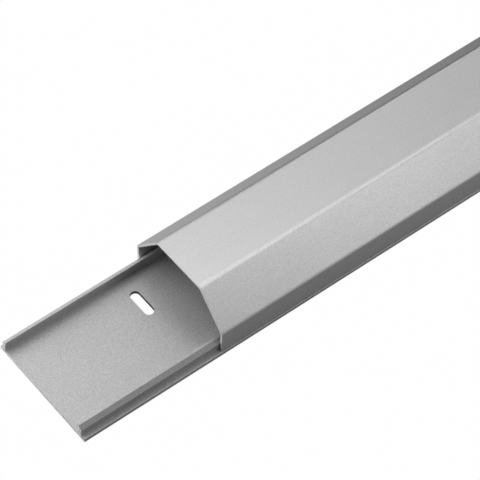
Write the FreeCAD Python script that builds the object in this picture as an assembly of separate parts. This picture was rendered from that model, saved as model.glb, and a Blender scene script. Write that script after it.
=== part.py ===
import FreeCAD, Part

import math
import os

# Two-piece aluminium cable cover, sizes in millimetres.
# X runs along the rail, Y across it, and the rail's underside lies on z = 0.
# The origin is the middle of the rail's underside.

# Base rail: a flat plate with an upright snap rib inside each long edge, a thin web with a thicker head
rail_length = 1100.0
rail_width = 50.0
plate_thickness = 1.5
plate_top_rounding = 0.4
plate_bottom_rounding = 0.1
rib_height = 5.5
rib_web_thickness = 1.1
rib_web_height = 2.6
rib_top_width = 1.0
rib_foot_rounding = 0.5
barb_height = 3.65
barb_undercut_height = 1.2
barb_lead_in = 1.45
rib_corner_rounding = 0.12

# Screw slots through the plate, set across the rail and alternating about its centre line
slot_count = 5
slot_length = 12.0
slot_width = 3.8
slot_end_distance = 50.0
slot_side_offset = 9.4

# Snap cover: two upright walls, two slopes and a flat roof of one thickness
cover_length = 1100.0
cover_setback = 59.5
cover_wall = 0.95
cover_inset = 0.3
assembly_height = 26.0
shoulder_height = 11.6
roof_flat_width = 25.0
roof_rounding = 4.0
shoulder_rounding = 2.5
wall_foot_rounding = 0.2

# Inside each wall a bead sits on the rib's lead-in face and a hook reaches under its barb
seat_gap = 0.2
snap_gap = 0.2
snap_overlap = 0.25
hook_land_height = 0.4
wall_foot_width = 0.8
bead_reach = 0.6
bead_rise = 1.5
snap_corner_rounding = 0.1

# Places across the section, measured from the centre line
half_rail = rail_width / 2
wall_outer_face = half_rail - cover_inset
wall_inner_face = wall_outer_face - cover_wall
barb_tip = wall_inner_face - snap_gap
hook_tip = barb_tip - snap_overlap
rib_outer_face = hook_tip - snap_gap
bead_tip = wall_inner_face - bead_reach
rib_inner_face = rib_outer_face - rib_web_thickness
rib_top_outer = barb_tip - barb_lead_in
rib_top_inner = rib_top_outer - rib_top_width

# Heights above the underside
rib_top = plate_thickness + rib_height
barb_level = plate_thickness + barb_height
undercut_level = barb_level - barb_undercut_height
wall_foot_level = plate_thickness + seat_gap

# Slopes of the barb's underside and of the lead-in face above it
underside_slope = barb_undercut_height / (barb_tip - rib_outer_face)
lead_in_slope = (rib_top - barb_level) / barb_lead_in


def hook_face_level(place):
    # Parallel to the barb's underside, one snap gap away from it
    drop = snap_gap * math.hypot(1, underside_slope)
    return barb_level - (barb_tip - place) * underside_slope - drop


def bead_face_level(place):
    # Parallel to the rib's lead-in face, one seat gap away from it
    lift = seat_gap * math.hypot(1, lead_in_slope)
    return barb_level + (barb_tip - place) * lead_in_slope + lift


def rounded_outline(corners):
    # Closed wire across X from corners (y, z, rounding), with tangent arcs at the rounded ones
    points = [FreeCAD.Vector(0, y, z) for y, z, rounding in corners]
    starts = []
    middles = []
    ends = []
    for index, (y, z, rounding) in enumerate(corners):
        point = points[index]
        into = (point - points[index - 1]).normalize()
        away = (points[(index + 1) % len(points)] - point).normalize()
        turn = into.getAngle(away)
        setback = rounding * math.tan(turn / 2)
        towards_centre = (away - into).normalize()
        starts.append(point - into * setback)
        middles.append(point + towards_centre * (rounding / math.cos(turn / 2) - rounding))
        ends.append(point + away * setback)
    edges = []
    for index, (y, z, rounding) in enumerate(corners):
        if rounding > 0:
            edges.append(Part.Arc(starts[index], middles[index], ends[index]).toShape())
        following = (index + 1) % len(corners)
        edges.append(Part.LineSegment(ends[index], starts[following]).toShape())
    return Part.Wire(edges)


def extrusion(half_section, start, length):
    # Bar of a section that is the same on both sides of the centre line
    other_half = [(-y, z, rounding) for y, z, rounding in reversed(half_section)]
    section = Part.Face(rounded_outline(half_section + other_half))
    section.translate(FreeCAD.Vector(start, 0, 0))
    return section.extrude(FreeCAD.Vector(length, 0, 0))


def slot_cutter(x, y):
    # Upright oblong with round ends, long across the rail
    radius = slot_width / 2
    straight = slot_length / 2 - radius
    corners = [FreeCAD.Vector(x + side * radius, y + end * straight, 0)
               for side, end in ((-1, -1), (1, -1), (1, 1), (-1, 1))]
    near_end = FreeCAD.Vector(x, y - slot_length / 2, 0)
    far_end = FreeCAD.Vector(x, y + slot_length / 2, 0)
    outline = Part.Wire([
        Part.Arc(corners[0], near_end, corners[1]).toShape(),
        Part.LineSegment(corners[1], corners[2]).toShape(),
        Part.Arc(corners[2], far_end, corners[3]).toShape(),
        Part.LineSegment(corners[3], corners[0]).toShape(),
    ])
    return Part.Face(outline).extrude(FreeCAD.Vector(0, 0, plate_thickness))


def base_rail():
    half_section = [
        (half_rail, 0, plate_bottom_rounding),
        (half_rail, plate_thickness, plate_top_rounding),
        (rib_outer_face, plate_thickness, 0),
        (rib_outer_face, undercut_level, rib_corner_rounding),
        (barb_tip, barb_level, rib_corner_rounding),
        (rib_top_outer, rib_top, rib_corner_rounding),
        (rib_top_inner, rib_top, rib_corner_rounding),
        (rib_inner_face, plate_thickness + rib_web_height, rib_corner_rounding),
        (rib_inner_face, plate_thickness, rib_foot_rounding),
    ]
    rail_start = -rail_length / 2
    rail = extrusion(half_section, rail_start, rail_length)
    slot_pitch = (rail_length - 2 * slot_end_distance) / (slot_count - 1)
    side = 1
    for number in range(slot_count):
        x = rail_start + slot_end_distance + number * slot_pitch
        rail = rail.cut(slot_cutter(x, side * slot_side_offset))
        side = -side
    return rail


def snap_cover():
    roof_edge = roof_flat_width / 2
    # A wall of even thickness moves each inner corner back by its half turn
    slope_turn = math.atan2(wall_outer_face - roof_edge, assembly_height - shoulder_height)
    roof_turn = math.pi / 2 - slope_turn
    inner_shoulder = shoulder_height - cover_wall * math.tan(slope_turn / 2)
    inner_roof_edge = roof_edge - cover_wall * math.tan(roof_turn / 2)
    half_section = [
        (roof_edge, assembly_height, roof_rounding),
        (wall_outer_face, shoulder_height, shoulder_rounding),
        (wall_outer_face, wall_foot_level, wall_foot_rounding),
        (wall_outer_face - wall_foot_width, wall_foot_level, 0),
        (hook_tip, hook_face_level(hook_tip) - hook_land_height, snap_corner_rounding),
        (hook_tip, hook_face_level(hook_tip), snap_corner_rounding),
        (wall_inner_face, hook_face_level(wall_inner_face), 0),
        (wall_inner_face, bead_face_level(wall_inner_face), 0),
        (bead_tip, bead_face_level(bead_tip), snap_corner_rounding),
        (wall_inner_face, bead_face_level(bead_tip) + bead_rise, snap_corner_rounding),
        (wall_inner_face, inner_shoulder, shoulder_rounding - cover_wall),
        (inner_roof_edge, assembly_height - cover_wall, roof_rounding - cover_wall),
    ]
    return extrusion(half_section, cover_setback - rail_length / 2, cover_length)


os.makedirs("parts", exist_ok=True)
for name, shape in (("base_rail", base_rail()), ("snap_cover", snap_cover())):
    box = shape.BoundBox
    print(name, "valid", shape.isValid(), "solids", len(shape.Solids), "volume", round(shape.Volume, 1))
    print("  x", box.XMin, box.XMax, "y", box.YMin, box.YMax, "z", box.ZMin, box.ZMax)
    shape.exportStep("parts/" + name + ".step")
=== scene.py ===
import math

import bpy
from mathutils import Matrix, Vector


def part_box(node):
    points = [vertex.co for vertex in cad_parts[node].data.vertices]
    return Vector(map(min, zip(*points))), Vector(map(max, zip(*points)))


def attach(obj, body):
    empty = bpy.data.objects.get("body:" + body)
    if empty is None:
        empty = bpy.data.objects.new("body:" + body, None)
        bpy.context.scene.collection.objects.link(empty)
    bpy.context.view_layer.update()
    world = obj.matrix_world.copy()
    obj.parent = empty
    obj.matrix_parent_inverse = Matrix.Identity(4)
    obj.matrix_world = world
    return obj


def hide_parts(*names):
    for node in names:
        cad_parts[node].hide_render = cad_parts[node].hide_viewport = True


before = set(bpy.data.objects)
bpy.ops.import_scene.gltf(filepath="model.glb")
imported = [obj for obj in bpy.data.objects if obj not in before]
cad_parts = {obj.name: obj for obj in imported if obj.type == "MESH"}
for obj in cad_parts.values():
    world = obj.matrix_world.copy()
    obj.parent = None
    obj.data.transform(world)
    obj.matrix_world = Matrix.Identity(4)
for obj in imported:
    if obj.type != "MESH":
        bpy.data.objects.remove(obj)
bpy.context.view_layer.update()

# Two-piece aluminium cable cover: a flat base rail and a snap cover that slides along it.
# X runs along the rail, Y across it, and the rail's underside lies on z = 0.

mm = 0.001
railLow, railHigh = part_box("base_rail")
coverLow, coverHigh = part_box("snap_cover")


def addObject(name, data):
    thing = bpy.data.objects.new(name, data)
    bpy.context.scene.collection.objects.link(thing)
    return thing


def grey(level):
    return (level, level, level, 1)


# Node helpers

nodesPerRow = 9
nodeSpacing = (190, -230)


def feed(tree, socket, value):  # a socket takes a link, and anything else is its fixed value
    if isinstance(value, bpy.types.NodeSocket):
        tree.links.new(value, socket)
    else:
        socket.default_value = value


def addNode(tree, kind, inputs=None, **settings):  # inputs by name or number
    row, column = divmod(len(tree.nodes), nodesPerRow)
    node = tree.nodes.new(kind)
    node.location = (nodeSpacing[0] * column, nodeSpacing[1] * row)
    for name, value in settings.items():
        setattr(node, name, value)
    for name, value in (inputs or {}).items():
        feed(tree, node.inputs[name], value)
    return node


def calc(tree, operation, first, second=0.0):
    return addNode(tree, "ShaderNodeMath", {0: first, 1: second}, operation=operation).outputs[0]


def ramp(tree, value, given, wanted):  # a straight run between two values, level outside them
    return addNode(tree, "ShaderNodeMapRange", {
        "Value": value,
        "From Min": given[0],
        "From Max": given[1],
        "To Min": wanted[0],
        "To Max": wanted[1],
    }).outputs["Result"]


def along(tree, axis, length):  # a vector along X, Y or Z
    return addNode(tree, "ShaderNodeCombineXYZ", {axis: length}).outputs["Vector"]


def parts(tree, vector):  # its X, Y and Z
    return addNode(tree, "ShaderNodeSeparateXYZ", {"Vector": vector}).outputs


def giveFinish(tree, geometry, finish, where=True):  # where chooses the faces
    return addNode(tree, "GeometryNodeSetMaterial", {
        "Geometry": geometry,
        "Selection": where,
        "Material": finish,
    }).outputs["Geometry"]


def makeGroup(name, kind, inputs, outputs):  # each input is a name, a socket type and a default
    tree = bpy.data.node_groups.new(name, kind)
    for label, socketType, default in inputs:
        socket = tree.interface.new_socket(label, in_out="INPUT", socket_type="NodeSocket" + socketType)
        if default is not None:
            socket.default_value = default
    for label, socketType in outputs:
        tree.interface.new_socket(label, in_out="OUTPUT", socket_type="NodeSocket" + socketType)
    return tree, addNode(tree, "NodeGroupInput").outputs


def addModifier(piece, tree, values):  # inputs by the socket's identifier, before the first evaluation
    modifier = piece.modifiers.new(tree.name, "NODES")
    modifier.node_group = tree
    for item in tree.interface.items_tree:
        if item.item_type == "SOCKET" and item.name in values:
            modifier[item.identifier] = values[item.name]


# Bar tree: rounds a section's corners, sweeps it along X and caps both cut ends

def makeBarTree():
    tree, given = makeGroup("extrudedBar", "GeometryNodeTree", [
        ("Section", "Geometry", None),
        ("Start", "Float", 0.0),
        ("Length", "Float", 1.0),
        ("Arc Segments", "Int", 10),
        ("Finish", "Material", None),
        ("Cut Finish", "Material", None),
    ], [("Bar", "Geometry")])
    outline = addNode(tree, "GeometryNodeMeshToCurve", {"Mesh": given["Section"]})
    rounding = addNode(tree, "GeometryNodeInputNamedAttribute", {"Name": "rounding"}, data_type="FLOAT")
    rounded = addNode(tree, "GeometryNodeFilletCurve", {
        "Curve": outline.outputs["Curve"],
        "Count": given["Arc Segments"],
        "Radius": rounding.outputs["Attribute"],
    }, mode="POLY")
    path = addNode(tree, "GeometryNodeCurvePrimitiveLine", {"End": along(tree, "Z", given["Length"])})
    sweep = addNode(tree, "GeometryNodeCurveToMesh", {
        "Curve": path.outputs["Curve"],
        "Profile Curve": rounded.outputs["Curve"],
        "Fill Caps": True,
    })
    laid = addNode(tree, "GeometryNodeTransform", {
        "Geometry": sweep.outputs["Mesh"],
        "Translation": along(tree, "X", given["Start"]),
        "Rotation": (math.pi / 2, 0, math.pi / 2),  # from Z to X
    })
    single = addNode(tree, "GeometryNodeRealizeInstances", {"Geometry": laid.outputs["Geometry"]})
    normal = parts(tree, addNode(tree, "GeometryNodeInputNormal").outputs["Normal"])
    endwise = calc(tree, "GREATER_THAN", calc(tree, "ABSOLUTE", normal["X"]), 0.9)  # the two cut ends
    drawn = giveFinish(tree, single.outputs["Geometry"], given["Finish"])
    cut = giveFinish(tree, drawn, given["Cut Finish"], endwise)
    addNode(tree, "NodeGroupOutput", {"Bar": cut})
    return tree


# Slot tree: punches a row of oblong slots through the plate, on alternate sides of its centre line

def makeSlotTree():
    tree, given = makeGroup("punchedSlots", "GeometryNodeTree", [
        ("Bar", "Geometry", None),
        ("Count", "Int", 5),
        ("First", "Float", 0.0),
        ("Pitch", "Float", 0.25),
        ("Side Offset", "Float", 0.01),
        ("Slot Length", "Float", 0.012),
        ("Slot Width", "Float", 0.004),
        ("Plate Thickness", "Float", 0.0015),
        ("Arc Segments", "Int", 12),
        ("Painted Shade Finish", "Material", None),
    ], [("Bar", "Geometry")])
    outline = addNode(tree, "GeometryNodeCurvePrimitiveQuadrilateral", {
        "Width": given["Slot Width"],
        "Height": given["Slot Length"],
    })
    rounded = addNode(tree, "GeometryNodeFilletCurve", {
        "Curve": outline.outputs["Curve"],
        "Count": given["Arc Segments"],
        "Radius": calc(tree, "MULTIPLY", given["Slot Width"], 0.499),  # at 0.5 the arcs would touch
    }, mode="POLY")
    stroke = addNode(tree, "GeometryNodeCurvePrimitiveLine", {  # from under the plate to over it
        "Start": along(tree, "Z", calc(tree, "MULTIPLY", given["Plate Thickness"], -1.0)),
        "End": along(tree, "Z", calc(tree, "MULTIPLY", given["Plate Thickness"], 2.0)),
    })
    punch = addNode(tree, "GeometryNodeCurveToMesh", {
        "Curve": stroke.outputs["Curve"],
        "Profile Curve": rounded.outputs["Curve"],
        "Fill Caps": True,
    })
    row = addNode(tree, "GeometryNodeMeshLine", {
        "Count": given["Count"],
        "Start Location": along(tree, "X", given["First"]),
        "Offset": along(tree, "X", given["Pitch"]),
    })
    odd = calc(tree, "MODULO", addNode(tree, "GeometryNodeInputIndex").outputs["Index"], 2.0)
    side = calc(tree, "SUBTRACT", 1.0, calc(tree, "MULTIPLY", odd, 2.0))  # +1 and -1 in turn
    spread = addNode(tree, "GeometryNodeSetPosition", {
        "Geometry": row.outputs["Mesh"],
        "Offset": along(tree, "Y", calc(tree, "MULTIPLY", side, given["Side Offset"])),
    })
    punches = addNode(tree, "GeometryNodeInstanceOnPoints", {
        "Points": spread.outputs["Geometry"],
        "Instance": punch.outputs["Mesh"],
    })
    cutters = addNode(tree, "GeometryNodeRealizeInstances", {"Geometry": punches.outputs["Instances"]})
    slotted = addNode(tree, "GeometryNodeMeshBoolean", {
        "Mesh 1": given["Bar"],
        "Mesh 2": cutters.outputs["Geometry"],
    }, operation="DIFFERENCE")
    single = addNode(tree, "GeometryNodeRealizeInstances", {"Geometry": slotted.outputs["Mesh"]})

    # the slots' walls: upright faces of the plate, well inside its outline, which get the dark finish of
    # painted shade
    place = parts(tree, addNode(tree, "GeometryNodeInputPosition").outputs["Position"])
    normal = parts(tree, addNode(tree, "GeometryNodeInputNormal").outputs["Normal"])
    reach = calc(tree, "ADD", given["Side Offset"], given["Slot Length"])
    lastSlot = calc(tree, "SUBTRACT", given["Slot Length"], given["First"])
    upright = calc(tree, "LESS_THAN", calc(tree, "ABSOLUTE", normal["Z"]), 0.5)
    low = calc(tree, "LESS_THAN", place["Z"], given["Plate Thickness"])
    inside = calc(tree, "LESS_THAN", calc(tree, "ABSOLUTE", place["Y"]), reach)
    between = calc(tree, "LESS_THAN", calc(tree, "ABSOLUTE", place["X"]), lastSlot)
    lowUpright = calc(tree, "MULTIPLY", upright, low)
    wall = calc(tree, "MULTIPLY", lowUpright, calc(tree, "MULTIPLY", inside, between))
    punched = giveFinish(tree, single.outputs["Geometry"], given["Painted Shade Finish"], wall)
    addNode(tree, "NodeGroupOutput", {"Bar": punched})
    return tree


# Shader group: fine etched grain with faint drawn or sawn lines

def makeGrainGroup():
    tree, given = makeGroup("satinGrain", "ShaderNodeTree", [
        ("Place", "Vector", None),
        ("Tone", "Color", grey(0.6)),
        ("Roughness", "Float", 0.5),
        ("Grain Size", "Float", 0.4 * mm),
        ("Grain Spread", "Float", 0.5),
        ("Grain Depth", "Float", 0.2),
        ("Line Width", "Float", 0.8 * mm),
        ("Line Stretch", "Vector", (0.004, 1.0, 1.0)),
        ("Line Spread", "Float", 0.05),
        ("Line Depth", "Float", 0.05),
    ], [("Tone", "Color"), ("Roughness", "Float"), ("Normal", "Vector")])
    grain = addNode(tree, "ShaderNodeTexNoise", {
        "Vector": given["Place"],
        "Scale": calc(tree, "DIVIDE", 1.0, given["Grain Size"]),
        "Detail": 2.0,
        "Roughness": 0.6,
    }).outputs["Fac"]
    stretched = addNode(tree, "ShaderNodeVectorMath", {
        0: given["Place"],
        1: given["Line Stretch"],
    }, operation="MULTIPLY")
    lines = addNode(tree, "ShaderNodeTexNoise", {
        "Vector": stretched.outputs["Vector"],
        "Scale": calc(tree, "DIVIDE", 1.0, given["Line Width"]),
        "Detail": 3.0,
    }).outputs["Fac"]
    grainSwing = calc(tree, "MULTIPLY", calc(tree, "SUBTRACT", grain, 0.5), given["Grain Spread"])
    lineSwing = calc(tree, "MULTIPLY", calc(tree, "SUBTRACT", lines, 0.5), given["Line Spread"])
    tone = addNode(tree, "ShaderNodeVectorMath", {
        0: given["Tone"],
        "Scale": calc(tree, "ADD", 1.0, calc(tree, "ADD", grainSwing, lineSwing)),
    }, operation="SCALE")
    pits = addNode(tree, "ShaderNodeBump", {
        "Strength": given["Grain Depth"],
        "Distance": calc(tree, "MULTIPLY", given["Grain Size"], 0.5),
        "Height": grain,
    })
    grooves = addNode(tree, "ShaderNodeBump", {
        "Strength": given["Line Depth"],
        "Distance": calc(tree, "MULTIPLY", given["Line Width"], 0.5),
        "Height": lines,
        "Normal": pits.outputs["Normal"],
    })
    addNode(tree, "NodeGroupOutput", {
        "Tone": tone.outputs["Vector"],
        "Roughness": calc(tree, "SUBTRACT", given["Roughness"], calc(tree, "MULTIPLY", lineSwing, 0.5)),
        "Normal": grooves.outputs["Normal"],
    })
    return tree


grainGroup = makeGrainGroup()


def makeMetal(name, metallic, values):
    material = bpy.data.materials.new(name)
    material.use_nodes = True
    tree = material.node_tree
    place = addNode(tree, "ShaderNodeTexCoord").outputs["Object"]
    grain = addNode(tree, "ShaderNodeGroup", node_tree=grainGroup)
    for socket, value in {"Place": place, **values}.items():
        feed(tree, grain.inputs[socket], value)
    shader = tree.nodes["Principled BSDF"]
    shader.inputs["Metallic"].default_value = metallic
    for socket, output in (("Base Color", "Tone"), ("Roughness", "Roughness"), ("Normal", "Normal")):
        feed(tree, shader.inputs[socket], grain.outputs[output])
    return material


print("stage: finishes")
coverMetal = makeMetal("satinCoverMetal", 1.0, {
    "Tone": grey(0.66),
    "Roughness": 0.32,
    "Grain Spread": 0.75,
})
railMetal = makeMetal("satinRailMetal", 0.15, {
    "Tone": grey(0.54),
    "Roughness": 0.36,
    "Grain Spread": 1.15,
    "Grain Depth": 0.4,
})
sawnMetal = makeMetal("sawnMetal", 0.1, {
    "Tone": grey(0.7),
    "Roughness": 0.6,
    "Line Stretch": (1.0, 0.03, 1.0),  # the saw's lines run across the duct
    "Line Spread": 0.3,
})
# the slots' walls: a tone of 0.1 is painted shade for the deep slots, darker than the metal's own colour
slotWallPaintedShade = makeMetal("slotWallPaintedShade", 1.0, {
    "Tone": grey(0.1),
    "Roughness": 0.5,
    "Line Stretch": (1.0, 1.0, 0.03),  # the punch's lines run down through the plate
})


# Sections: corners as (y, z, rounding) of the +Y half, anticlockwise, so that the faces point outwards

railShape = {
    "plateThickness": 1.5 * mm,
    "plateTopRounding": 0.4 * mm,
    "plateBottomRounding": 0.1 * mm,
    "ribWebThickness": 1.1 * mm,
    "ribWebHeight": 2.6 * mm,
    "ribTopWidth": 1.0 * mm,
    "ribFootRounding": 0.25 * mm,
    "barbHeight": 3.65 * mm,
    "undercutHeight": 1.2 * mm,
    "barbLeadIn": 1.45 * mm,
    "cornerRounding": 0.12 * mm,
    "arcSegments": 8,
    "slotCount": 5,
    "slotLength": 12.0 * mm,
    "slotWidth": 3.8 * mm,
    "slotEndDistance": 50.0 * mm,
    "slotSideOffset": 9.4 * mm,
    "slotArcSegments": 12,
    "edgeBreak": 0.08 * mm,
}

coverShape = {
    "wall": 0.95 * mm,
    "shoulderHeight": 11.6 * mm,
    "roofFlatWidth": 25.0 * mm,
    "roofRounding": 3.0 * mm,
    "shoulderRounding": 1.8 * mm,
    "footRounding": 0.5 * mm,
    "footWidth": 0.8 * mm,
    "snapGap": 0.2 * mm,
    "snapOverlap": 0.25 * mm,
    "seatGap": 0.2 * mm,
    "hookLand": 0.4 * mm,
    "beadReach": 0.6 * mm,
    "beadRise": 1.5 * mm,
    "cornerRounding": 0.1 * mm,
    "arcSegments": 14,
    "edgeBreak": 0.08 * mm,
}

bevelSegments = 3
sharpAngle = math.radians(34)  # an edge that turns by more gets a bevel

wallInner = coverHigh.y - coverShape["wall"]
barbTip = wallInner - coverShape["snapGap"]
hookTip = barbTip - coverShape["snapOverlap"]
ribOuter = hookTip - coverShape["snapGap"]
barbLevel = railShape["plateThickness"] + railShape["barbHeight"]
undersideSlope = railShape["undercutHeight"] / (barbTip - ribOuter)
leadInSlope = (railHigh.z - barbLevel) / railShape["barbLeadIn"]


def hookFace(y):  # parallel to the barb's underside
    return barbLevel - (barbTip - y) * undersideSlope - coverShape["snapGap"] * math.hypot(1, undersideSlope)


def beadFace(y):  # parallel to the rib's lead-in face
    return barbLevel + (barbTip - y) * leadInSlope + coverShape["seatGap"] * math.hypot(1, leadInSlope)


def railHalf():
    shape = railShape
    plateTop = shape["plateThickness"]
    corner = shape["cornerRounding"]
    ribTopOuter = barbTip - shape["barbLeadIn"]
    ribInner = ribOuter - shape["ribWebThickness"]
    return [
        (railHigh.y, railLow.z, shape["plateBottomRounding"]),
        (railHigh.y, plateTop, shape["plateTopRounding"]),
        (ribOuter, plateTop, 0.0),
        (ribOuter, barbLevel - shape["undercutHeight"], corner),
        (barbTip, barbLevel, corner),
        (ribTopOuter, railHigh.z, corner),
        (ribTopOuter - shape["ribTopWidth"], railHigh.z, corner),
        (ribInner, plateTop + shape["ribWebHeight"], corner),
        (ribInner, plateTop, shape["ribFootRounding"]),
    ]


def coverHalf():
    shape = coverShape
    wall = shape["wall"]
    corner = shape["cornerRounding"]
    roofEdge = shape["roofFlatWidth"] / 2
    slopeTurn = math.atan2(coverHigh.y - roofEdge, coverHigh.z - shape["shoulderHeight"])
    roofTurn = math.pi / 2 - slopeTurn
    roofEdgeInner = roofEdge - wall * math.tan(roofTurn / 2)
    shoulderInner = shape["shoulderHeight"] - wall * math.tan(slopeTurn / 2)
    beadTip = wallInner - shape["beadReach"]
    return [
        (roofEdgeInner, coverHigh.z - wall, shape["roofRounding"] - wall),
        (wallInner, shoulderInner, shape["shoulderRounding"] - wall),
        (wallInner, beadFace(beadTip) + shape["beadRise"], corner),
        (beadTip, beadFace(beadTip), corner),
        (wallInner, beadFace(wallInner), 0.0),
        (wallInner, hookFace(wallInner), 0.0),
        (hookTip, hookFace(hookTip), corner),
        (hookTip, hookFace(hookTip) - shape["hookLand"], corner),
        (coverHigh.y - shape["footWidth"], coverLow.z, 0.0),
        (coverHigh.y, coverLow.z, shape["footRounding"]),
        (coverHigh.y, shape["shoulderHeight"], shape["shoulderRounding"]),
        (roofEdge, coverHigh.z, shape["roofRounding"]),
    ]


def sectionObject(name, half):  # a closed loop of corners, each with its rounding
    corners = half + [(-y, z, rounding) for y, z, rounding in reversed(half)]
    edges = [(i, (i + 1) % len(corners)) for i in range(len(corners))]
    mesh = bpy.data.meshes.new(name)
    mesh.from_pydata([(y, z, 0) for y, z, rounding in corners], edges, [])
    attribute = mesh.attributes.new("rounding", "FLOAT", "POINT")
    attribute.data.foreach_set("value", [rounding for y, z, rounding in corners])
    return addObject(name, mesh)


def bake(piece):  # turns the modifiers' result into the piece's own plain mesh
    bpy.context.view_layer.update()
    evaluated = piece.evaluated_get(bpy.context.evaluated_depsgraph_get())
    mesh = bpy.data.meshes.new_from_object(evaluated)
    piece.modifiers.clear()
    piece.data = mesh


def breakEdges(piece, width):  # a fine bevel on every sharp edge
    piece.data.shade_smooth()
    bevel = piece.modifiers.new("brokenEdges", "BEVEL")
    bevel.width = width
    bevel.segments = bevelSegments
    bevel.limit_method = "ANGLE"
    bevel.angle_limit = sharpAngle
    bevel.use_clamp_overlap = False
    flat = piece.modifiers.new("flatFaces", "WEIGHTED_NORMAL")  # keeps the flats flat beside the roundings
    flat.keep_sharp = True
    bake(piece)
    print("  ", piece.name, "faces", len(piece.data.polygons))


print("stage: base rail")
barTree = makeBarTree()
slotTree = makeSlotTree()
railLength = railHigh.x - railLow.x
slotRow = railLength - 2 * railShape["slotEndDistance"]
rail = sectionObject("baseRail", railHalf())
addModifier(rail, barTree, {
    "Start": railLow.x,
    "Length": railLength,
    "Arc Segments": railShape["arcSegments"],
    "Finish": railMetal,
    "Cut Finish": sawnMetal,
})
addModifier(rail, slotTree, {
    "Count": railShape["slotCount"],
    "First": railLow.x + railShape["slotEndDistance"],
    "Pitch": slotRow / (railShape["slotCount"] - 1),
    "Side Offset": railShape["slotSideOffset"],
    "Slot Length": railShape["slotLength"],
    "Slot Width": railShape["slotWidth"],
    "Plate Thickness": railShape["plateThickness"],
    "Arc Segments": railShape["slotArcSegments"],
    "Painted Shade Finish": slotWallPaintedShade,
})
bake(rail)
breakEdges(rail, railShape["edgeBreak"])

print("stage: snap cover")
cover = sectionObject("snapCover", coverHalf())
addModifier(cover, barTree, {
    "Start": coverLow.x,
    "Length": coverHigh.x - coverLow.x,
    "Arc Segments": coverShape["arcSegments"],
    "Finish": coverMetal,
    "Cut Finish": sawnMetal,
})
bake(cover)
breakEdges(cover, coverShape["edgeBreak"])

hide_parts("base_rail")
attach(rail, "rail")
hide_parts("snap_cover")
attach(cover, "cover")


# Studio: a floor that looks white, a dim world and soft panels around the duct, most of them at its near end

studio = {
    "floorSize": 12.0,
    "floorTone": 0.12,
    "floorRoughness": 0.9,
    "floorDrop": 0.2 * mm,
    "cameraWhite": 0.995,  # how much of what the camera sees of the floor is plain white
    "frontPaintedReflection": (0.13, 0.17),  # painted reflection: how white the metal sees the floor in front, at the near end and past it, kept dark beside the duct as painted shade
    "behindPaintedReflection": (0.50, 0.14),  # and the same painted reflection behind the duct
    "nearPart": 0.25,  # the length over which those two change
    "awayPaintedReflection": 0.8,  # and further away in front, where the painted reflection is lighter than the painted shade beside the duct
    "awayFade": (-0.14, -0.04),  # the stretch of Y over which that fades out
    "worldTone": 0.9,
    "worldStrength": 0.045,
}

# Each panel: the place on the X axis that it faces, its azimuth, elevation and distance from there,
# its width and height, and its radiance
panels = {
    "topRight": (-0.30, 0, 64, 1.0, 0.45, 0.38, 0.72),
    "topBack": (-0.30, 60, 64, 1.0, 0.45, 0.38, 0.80),
    "topLeft": (-0.30, 130, 63, 1.0, 0.90, 0.75, 1.33),
    "topFront": (-0.30, 300, 64, 1.0, 0.45, 0.38, 1.44),
    "overhead": (-0.30, 0, 88, 1.0, 0.45, 0.38, 1.20),
    "front": (-0.30, 282, 27, 1.0, 0.35, 0.13, 3.05),
    "nearFront": (-0.46, 293, 45, 0.45, 0.248, 0.144, 0.54),
    "nearLow": (-0.46, 75, 10, 0.45, 0.315, 0.108, 0.33),
    "nearLeft": (-0.46, 160, 10, 0.45, 0.40, 0.12, 5.87),
    "nearBack": (-0.46, 60, 35, 0.45, 0.248, 0.144, 0.91),
    "nearEnd": (-0.55, 180, 15, 0.60, 0.40, 0.20, 0.30),
    "nearCorner": (-0.30, 225, 35, 0.60, 0.50, 0.24, 0.04),
    "side": (-0.36, 300, 22, 0.30, 0.245, 0.091, 0.42),
    "highSide": (-0.36, 300, 38, 0.30, 0.193, 0.112, 0.37),
    "railBack": (-0.52, 90, 30, 0.18, 0.210, 0.078, 0.70),
    "overRail": (-0.52, 135, 60, 0.18, 0.135, 0.114, 1.20),
    "middleBack": (0.05, 90, 45, 0.40, 0.40, 0.20, 0.20),
    "middleTop": (0.05, 0, 88, 0.40, 0.40, 0.20, 0.20),
    "farTop": (0.40, 0, 88, 0.60, 0.80, 0.40, 0.60),
    "farBack": (0.40, 90, 45, 0.60, 0.80, 0.30, 0.60),
    "farFront": (0.40, 270, 45, 0.60, 0.80, 0.30, 0.60),
    "farBackLow": (0.40, 90, 12, 0.60, 0.80, 0.20, 0.50),
    "farFrontLow": (0.40, 270, 12, 0.60, 0.80, 0.20, 0.50),
    "farEnd": (1.20, 0, 25, 0.80, 0.40, 0.30, 0.50),
    "outerTop": (1.20, 0, 88, 0.60, 0.80, 0.40, 0.60),
    "outerBack": (1.20, 90, 45, 0.60, 0.80, 0.30, 0.60),
    "outerFront": (1.20, 270, 45, 0.60, 0.80, 0.30, 0.60),
}
unmirrored = {"nearLeft"}  # mirrored, it would be a hot spot on the cover from other sides


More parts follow.
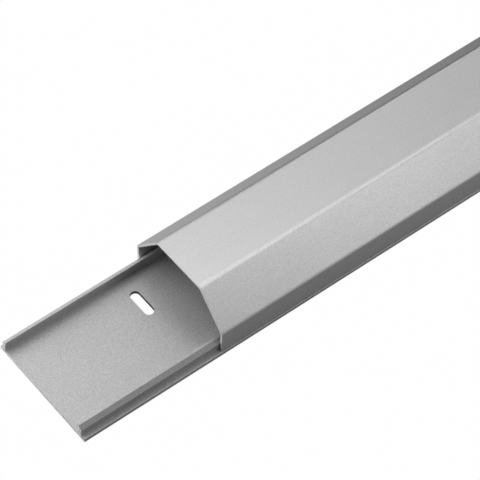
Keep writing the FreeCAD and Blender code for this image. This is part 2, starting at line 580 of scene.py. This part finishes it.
def makeFloorFinish():  # white to the camera, and part white where the metal mirrors it: a glow seen only in glossy rays, a painted reflection that is dark beside the duct as painted shade
    material = bpy.data.materials.new("paleFloor")
    material.use_nodes = True
    tree = material.node_tree
    shader = tree.nodes["Principled BSDF"]
    shader.inputs["Base Color"].default_value = grey(studio["floorTone"])
    shader.inputs["Roughness"].default_value = studio["floorRoughness"]
    shader.inputs["Specular IOR Level"].default_value = 0.0
    place = parts(tree, addNode(tree, "ShaderNodeTexCoord").outputs["Object"])
    nearPart = (railLow.x, railLow.x + studio["nearPart"])
    behind = ramp(tree, place["Y"], (railLow.y, railHigh.y), (0.0, 1.0))
    inFront = calc(tree, "SUBTRACT", 1.0, behind)
    back = calc(tree, "MULTIPLY", behind, ramp(tree, place["X"], nearPart, studio["behindPaintedReflection"]))
    front = calc(tree, "MULTIPLY", inFront, ramp(tree, place["X"], nearPart, studio["frontPaintedReflection"]))
    away = ramp(tree, place["Y"], studio["awayFade"], (studio["awayPaintedReflection"], 0.0))
    # the floor's glow in the metal is painted: a painted reflection, with painted shade beside the duct and
    # lighter further out
    mirrored = calc(tree, "ADD", calc(tree, "ADD", front, back), away)
    ray = addNode(tree, "ShaderNodeLightPath").outputs
    paintedReflectionGlow = addNode(tree, "ShaderNodeEmission", {
        "Strength": calc(tree, "MULTIPLY", mirrored, ray["Is Glossy Ray"]),
    })
    lit = addNode(tree, "ShaderNodeAddShader", {0: shader.outputs["BSDF"], 1: paintedReflectionGlow.outputs["Emission"]})
    white = addNode(tree, "ShaderNodeEmission")
    seen = calc(tree, "MAXIMUM", ray["Is Camera Ray"], ray["Is Transmission Ray"])
    blend = addNode(tree, "ShaderNodeMixShader", {
        "Fac": calc(tree, "MULTIPLY", seen, studio["cameraWhite"]),
        1: lit.outputs["Shader"],
        2: white.outputs["Emission"],
    })
    feed(tree, tree.nodes["Material Output"].inputs["Surface"], blend.outputs["Shader"])
    return material


def makeFloor():
    half = studio["floorSize"] / 2
    level = railLow.z - studio["floorDrop"]
    mesh = bpy.data.meshes.new("studioFloor")
    corners = [(-half, -half, level), (half, -half, level), (half, half, level), (-half, half, level)]
    mesh.from_pydata(corners, [], [(0, 1, 2, 3)])
    mesh.materials.append(makeFloorFinish())
    addObject("studioFloor", mesh)


def makeWorld():
    world = bpy.data.worlds.new("paleStudio")
    world.use_nodes = True
    background = world.node_tree.nodes["Background"]
    background.inputs["Color"].default_value = grey(studio["worldTone"])
    background.inputs["Strength"].default_value = studio["worldStrength"]
    bpy.context.scene.world = world


def makePanel(name, facing, azimuth, elevation, distance, width, height, radiance):
    around, above = math.radians(azimuth), math.radians(elevation)
    away = Vector((math.cos(around) * math.cos(above), math.sin(around) * math.cos(above), math.sin(above)))
    data = bpy.data.lights.new(name, "AREA")
    data.shape = "RECTANGLE"
    data.size = width
    data.size_y = height
    data.energy = math.pi * width * height * radiance
    panel = addObject(name, data)
    panel.location = Vector((facing, 0, 0)) + away * distance
    panel.rotation_euler = away.to_track_quat("Z", "Y").to_euler()
    panel.visible_camera = False
    panel.visible_glossy = name not in unmirrored


print("stage: studio")
makeFloor()
makeWorld()
for name, values in panels.items():
    makePanel(name, *values)


# Camera: looks down on the rail's uncovered end from its near side

cameraView = {
    "azimuth": -37.452,
    "elevation": 52.771,
    "roll": -0.326,
    "floorPoint": (-454.95 * mm, 11.14 * mm, 0.0),
    "distance": 1077.84 * mm,
    "lens": 225.12,
    "sensorWidth": 36,
    "clip": (0.05, 50),
}


def makeCamera():
    view = cameraView
    azimuth, elevation, roll = (math.radians(view[name]) for name in ("azimuth", "elevation", "roll"))
    level = math.cos(elevation)
    back = Vector((math.sin(azimuth) * level, -math.cos(azimuth) * level, math.sin(elevation)))
    right = Vector((math.cos(azimuth), math.sin(azimuth), 0))
    turnedRight = math.cos(roll) * right + math.sin(roll) * back.cross(right)
    turn = Matrix((turnedRight, back.cross(turnedRight), back)).transposed()
    data = bpy.data.cameras.new("studioCamera")
    data.sensor_width = view["sensorWidth"]
    data.lens = view["lens"]
    data.clip_start, data.clip_end = view["clip"]
    camera = addObject("studioCamera", data)
    place = Vector(view["floorPoint"]) + back * view["distance"]
    camera.matrix_world = Matrix.Translation(place) @ turn.to_4x4()
    bpy.context.scene.camera = camera


makeCamera()
bpy.context.scene.view_settings.view_transform = "Standard"
